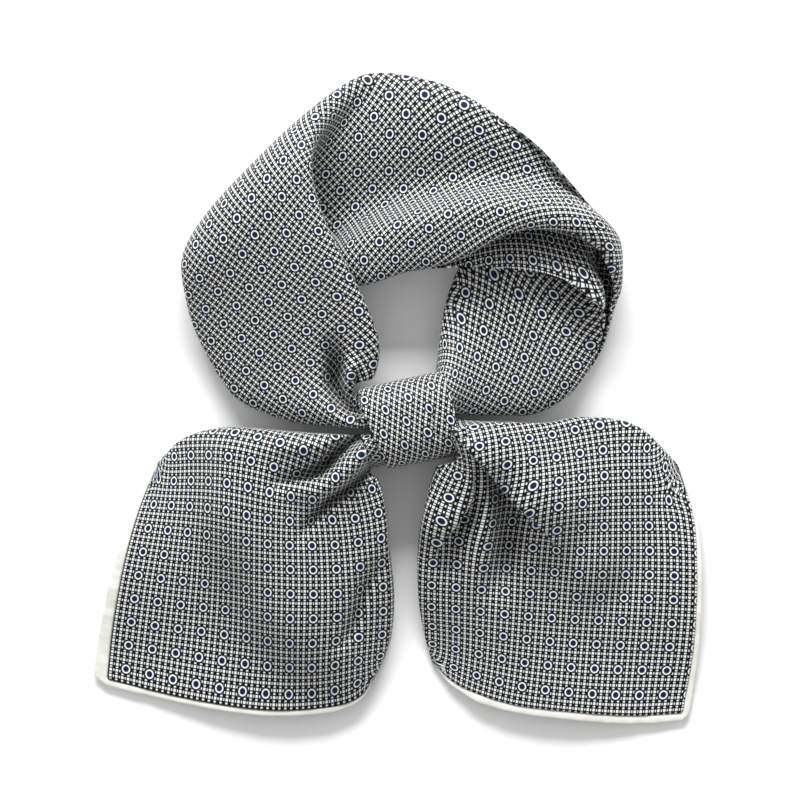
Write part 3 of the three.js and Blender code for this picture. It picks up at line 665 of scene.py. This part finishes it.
def knot_wrap():
    """The band that goes once round the knot."""
    across, up = oval(KNOT_HEIGHT, KNOT_DEPTH, NECK_ROUND, NECK_ROUND, 3.0, KNOT_COLUMNS, below=True)
    share = np.linspace(-1, 1, KNOT_ROWS)[:, None]
    y = across * (KNOT_HEIGHT - KNOT_WALL) / 2
    z = KNOT_DEPTH / 2 + up * (KNOT_DEPTH - KNOT_WALL) / 2

    # The wrap leans over both necks, further at its lower left and at its middle right
    left_rim = 1.6 - 2.6 * np.clip(across, -1, 0.5)
    right_rim = 4.6 + 0.3 * across - 1.4 * across ** 2
    x = share * KNOT_LENGTH / 2 + mix(left_rim, right_rim, (share + 1) / 2)
    curl = 0.55 * ease(0.85, 1, np.abs(share))
    points = by_knot(x, y * (1 - curl / 14), z - curl * up)
    points = folded(points, KNOT_FOLDS, ease(0, 0.5, up) + 0 * share)
    walked = np.concatenate([[0], np.cumsum(np.hypot(np.diff(y), np.diff(z)))])
    threads = np.array([np.cos(KNOT_THREADS), np.sin(KNOT_THREADS)])
    place = np.stack([x, walked + 0 * x], -1) - (0, walked[-1] / 2)
    return points, place @ np.linalg.inv(threads).T


# Width of each hem in millimetres by share of the way from the top to the corner, 1, and on
# to the lower end, 2
LEFT_HEM = table("share width", (0, 0.5), (0.1, 1.9), (0.4, 3.0), (0.8, 4.2), (1, 4.6),
                 (1.001, 2.4), (1.2, 1.9), (1.6, 2.0), (1.85, 1.8), (2, 0.4))
RIGHT_HEM = table("share width", (0, 0.4), (0.2, 1.3), (0.7, 1.9), (1, 2.3),
                  (1.001, 2.7), (1.3, 2.8), (1.8, 2.6), (2, 0.5))


def rolled_hem(name, rail, side, widths, material):
    """A flat rolled hem beyond the outer line of a tail, mitred at its corner."""
    run = np.diff(rail[:, :2], axis=0)
    run /= np.linalg.norm(run, axis=1, keepdims=True)
    corner = 1 + (run[1:] * run[:-1]).sum(1).argmin()
    halves = []
    for part in (rail[:corner + 1], rail[corner:]):
        walked = np.concatenate([[0], np.cumsum(np.linalg.norm(np.diff(part, axis=0), axis=1))])
        at = np.linspace(0, walked[-1], 150)
        line = np.stack([np.interp(at, walked, part[:, k]) for k in range(3)], -1)
        into = np.gradient(line[:, :2], axis=0)
        into /= np.linalg.norm(into, axis=1, keepdims=True)
        halves.append((line, side * np.stack([-into[:, 1], into[:, 0]], -1)))
    (before, out_before), (after, out_after) = halves
    rail = np.concatenate([before, after[1:]])
    share = np.linspace(0, 2, len(rail))
    key, value = widths["share"], widths["width"]
    width = np.interp(share, key, value)
    out = np.concatenate([out_before, out_after[1:]])
    at = len(before) - 1
    both = np.array([out_before[-1], out_after[0]])
    mitre = np.linalg.solve(both, [width[at], np.interp(1.001, key, value)])
    reach_out = out * width[:, None]
    reach_out[at] = mitre
    rng = np.random.default_rng(5)
    crinkle = np.interp(share, np.linspace(0, 2, 46), rng.normal(0, 1, 46))
    thick = 0.4 + 0.22 * np.minimum(width, 2)
    middle = rail[:, 2] - 0.3 + 0.1 * crinkle
    count, sides = len(rail), 16
    angle = np.linspace(0, 2 * np.pi, sides, endpoint=False)
    c, s = np.cos(angle), np.sin(angle)
    reach = (1 + np.sign(c) * np.abs(c) ** 0.7) / 2 * (1 + 0.04 * crinkle[:, None]) + 0.03
    rise = (thick / 2)[:, None] * np.sign(s) * np.abs(s) ** 0.8
    rings = np.empty((count, sides, 3))
    rings[..., :2] = rail[:, None, :2] + reach_out[:, None] * reach[..., None]
    rings[..., 2] = np.maximum(middle[:, None] + rise, 0.05 + thick[:, None] / 2 + rise)
    points = (rings.reshape(-1, 3) + SHIFT) * MM
    index = np.arange(count * sides).reshape(count, sides)
    beyond = np.roll(index, -1, 1)
    faces = np.stack([index[:-1], index[1:], beyond[1:], beyond[:-1]], -1).reshape(-1, 4).tolist()
    faces += [index[0][::-1].tolist(), index[-1].tolist()]
    if side < 0:
        faces = [face[::-1] for face in faces]
    mesh = bpy.data.meshes.new(name)
    mesh.from_pydata(points.tolist(), [], faces)
    mesh.shade_smooth()
    mesh.materials.append(material)
    piece = bpy.data.objects.new(name, mesh)
    bpy.context.collection.objects.link(piece)
    return piece


class Value:
    """A shader socket used in an expression: each operator adds one Math node."""

    def __init__(self, finish, socket):
        self.finish = finish
        self.socket = socket

    def maths(self, operation, *values):
        return self.finish.node("Math", {"operation": operation}, *values)

    def __add__(self, other):
        return self.maths("ADD", self, other)

    def __sub__(self, other):
        return self.maths("SUBTRACT", self, other)

    def __rsub__(self, other):
        return self.maths("SUBTRACT", other, self)

    def __mul__(self, other):
        return self.maths("MULTIPLY", self, other)

    def __truediv__(self, other):
        return self.maths("DIVIDE", self, other)

    def __pow__(self, other):
        return self.maths("POWER", self, other)

    def __abs__(self):
        return self.maths("ABSOLUTE", self)

    __radd__ = __add__
    __rmul__ = __mul__


class Finish:
    """One material: its surface shader, and nodes added by type."""

    def __init__(self, name, **surface):
        self.material = bpy.data.materials.new(name)
        self.material.use_nodes = True
        self.tree = self.material.node_tree
        self.surface = self.tree.nodes["Principled BSDF"]
        for key, value in surface.items():
            self.surface.inputs[key.replace("_", " ")].default_value = value

    def node(self, kind, settings, *values, out=0, **named):
        made = self.tree.nodes.new("ShaderNode" + kind)
        for key, value in settings.items():
            setattr(made, key, value)
        for key, value in [*enumerate(values), *((k.replace("_", " "), v) for k, v in named.items())]:
            self.give(made.inputs[key], value)
        return Value(self, made.outputs[out])

    def give(self, socket, value):
        if isinstance(value, Value):
            self.tree.links.new(value.socket, socket)
        else:
            socket.default_value = value

    def set(self, name, value):
        self.give(self.surface.inputs[name], value)

    def largest(self, a, b):
        return self.node("Math", {"operation": "MAXIMUM"}, a, b)

    def inside(self, distance, edge, soft):
        """1 where a distance is under an edge, 0 beyond it."""
        return self.node("Clamp", {}, (edge - distance) / soft + 0.5)

    def blend(self, share, a, b):
        """Colour a, going to b with the share."""
        made = self.node("Mix", {"data_type": "RGBA"}, out=2)
        mixer = made.socket.node
        self.give(mixer.inputs[0], share)
        self.give(mixer.inputs[6], a)
        self.give(mixer.inputs[7], b)
        return made


# Metres from one white square of the print to the next
PRINT_CELL = 0.00202


def printed_silk():
    """Black silk twill printed with a fine white check and ringed dots."""
    finish = Finish("printed silk", Specular_IOR_Level=0.12, Sheen_Weight=0.05, Sheen_Roughness=0.35)
    place = finish.node("Attribute", {"attribute_name": "print"}, out="Vector")
    split = finish.node("SeparateXYZ", {}, place).socket.node
    u = Value(finish, split.outputs[0]) / PRINT_CELL
    v = Value(finish, split.outputs[1]) / PRINT_CELL

    def apart(x, every, at):
        """Distance from the nearest of evenly spaced lines."""
        turn = (x - at) / every + 0.5
        return abs(finish.node("Math", {"operation": "FRACT"}, turn) - 0.5) * every

    u0, u5, u4 = apart(u, 1, 0), apart(u, 1, 0.5), apart(u, 4, 0.5)
    v0, v5, v4 = apart(v, 1, 0), apart(v, 1, 0.5), apart(v, 4, 0.5)
    soft = 0.11
    square = finish.inside(finish.largest(u0, v0), 0.195, soft)
    dash = finish.inside(finish.largest(u5 - 0.08, v0 - 0.16), 0, soft)
    bar = finish.inside(finish.largest(u0 - 0.17, v5 - 0.105), 0, soft)
    check = finish.largest(finish.largest(square, dash), bar)
    radius = (u4 ** 2 + v4 ** 2) ** 0.5
    dot = finish.inside(radius, 0.49, soft)
    ring = finish.inside(radius, 0.7, soft)
    halo = finish.inside(radius, 0.94, soft)
    white = finish.largest(check * (1 - halo), ring)
    shade = finish.node("TexNoise", {}, place, Scale=60.0)
    black = (0.0045, 0.0052, 0.0055, 1)
    ivory = (0.80, 0.82, 0.82, 1)
    navy = finish.blend(shade, (0.006, 0.009, 0.042, 1), (0.003, 0.017, 0.050, 1))
    ground = finish.blend(white, black, ivory)
    finish.set("Base Color", finish.blend(dot, ground, navy))
    uneven = finish.node("TexNoise", {}, place, Scale=220.0, Detail=3.0)
    twill = finish.node("Math", {"operation": "SINE"}, (u + v) * 30)
    finish.set("Roughness", 0.36 + 0.12 * uneven + 0.06 * white)
    finish.set("Normal", finish.node("Bump", {}, Strength=0.3, Distance=0.0003,
                                     Height=uneven + 0.1 * twill))
    return finish


def white_hem():
    """Rolled hem of plain white silk."""
    finish = Finish("white hem", Specular_IOR_Level=0.3, Sheen_Weight=0.1, Sheen_Roughness=0.4)
    place = finish.node("TexCoord", {}, out="Object")
    uneven = finish.node("TexNoise", {}, place, Scale=300.0, Detail=3.0)
    finish.set("Base Color", finish.blend(uneven, (0.62, 0.62, 0.57, 1), (0.78, 0.78, 0.735, 1)))
    finish.set("Roughness", 0.4 + 0.2 * uneven)
    finish.set("Normal", finish.node("Bump", {}, Strength=0.5, Distance=0.0006, Height=uneven))
    return finish


silk = printed_silk().material
white = white_hem().material


def place_piece(piece, node):
    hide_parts(node)
    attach(piece, "root")


points, coords = neck_loop()
loop = cloth("neck_loop_silk", points, coords * MM, SILK, silk)
place_piece(loop, "neck_loop")
points, coords = knot_wrap()
knot = cloth("knot_wrap_silk", points, coords * MM, SILK, silk)
place_piece(knot, "knot_wrap")
for name, side, size, edges, folds, widths, print_start in (
        ("left", -1, LEFT_TAIL, LEFT_EDGES, LEFT_FOLDS, LEFT_HEM, (-4.85, -3.6)),
        ("right", 1, RIGHT_TAIL, RIGHT_EDGES, RIGHT_FOLDS, RIGHT_HEM, (0.2, -5.2))):
    points, coords, rail = tail(side, size, edges, folds, print_start)
    piece = cloth(f"{name}_tail_silk", points, coords * MM, SILK, silk)
    place_piece(piece, f"{name}_tail")
    hem = rolled_hem(f"{name}_hem_silk", rail, side, widths, white)
    place_piece(hem, f"{name}_hem")

# Floor, camera and light
floor_mesh = bpy.data.meshes.new("floor")
floor_mesh.from_pydata([(-4, -4, 0), (4, -4, 0), (4, 4, 0), (-4, 4, 0)], [], [(0, 1, 2, 3)])
floor = bpy.data.objects.new("floor", floor_mesh)
bpy.context.collection.objects.link(floor)
paper = Finish("white paper", Roughness=0.9)
paper.set("Base Color", (0.95, 0.95, 0.95, 1))
floor_mesh.materials.append(paper.material)

CAMERA_HEIGHT = 4.0
VIEW_WIDTH = 0.272
lens = bpy.data.cameras.new("camera")
lens.sensor_width = 36
lens.lens = 36 * CAMERA_HEIGHT / VIEW_WIDTH
lens.clip_end = 20
camera = bpy.data.objects.new("camera", lens)
camera.location = (0.00017, 0, CAMERA_HEIGHT)
bpy.context.collection.objects.link(camera)
bpy.context.scene.camera = camera


def soft_box(name, place, size, power, aim=(0, 0, 0)):
    lamp = bpy.data.lights.new(name, "AREA")
    lamp.shape = "RECTANGLE"
    lamp.size, lamp.size_y = size
    lamp.energy = power
    box = bpy.data.objects.new(name, lamp)
    box.location = place
    direction = np.array(aim) - np.array(place)
    box.rotation_euler = Vector(direction).to_track_quat("-Z", "Y").to_euler()
    bpy.context.collection.objects.link(box)


soft_box("window", (-0.12, 2.05, 1.25), (1.6, 0.8), 92)
world = bpy.data.worlds.new("studio")
world.use_nodes = True
world.node_tree.nodes["Background"].inputs[0].default_value = (1, 1, 1, 1)
world.node_tree.nodes["Background"].inputs[1].default_value = 0.64
bpy.context.scene.world = world
bpy.context.scene.view_settings.view_transform = "Standard"
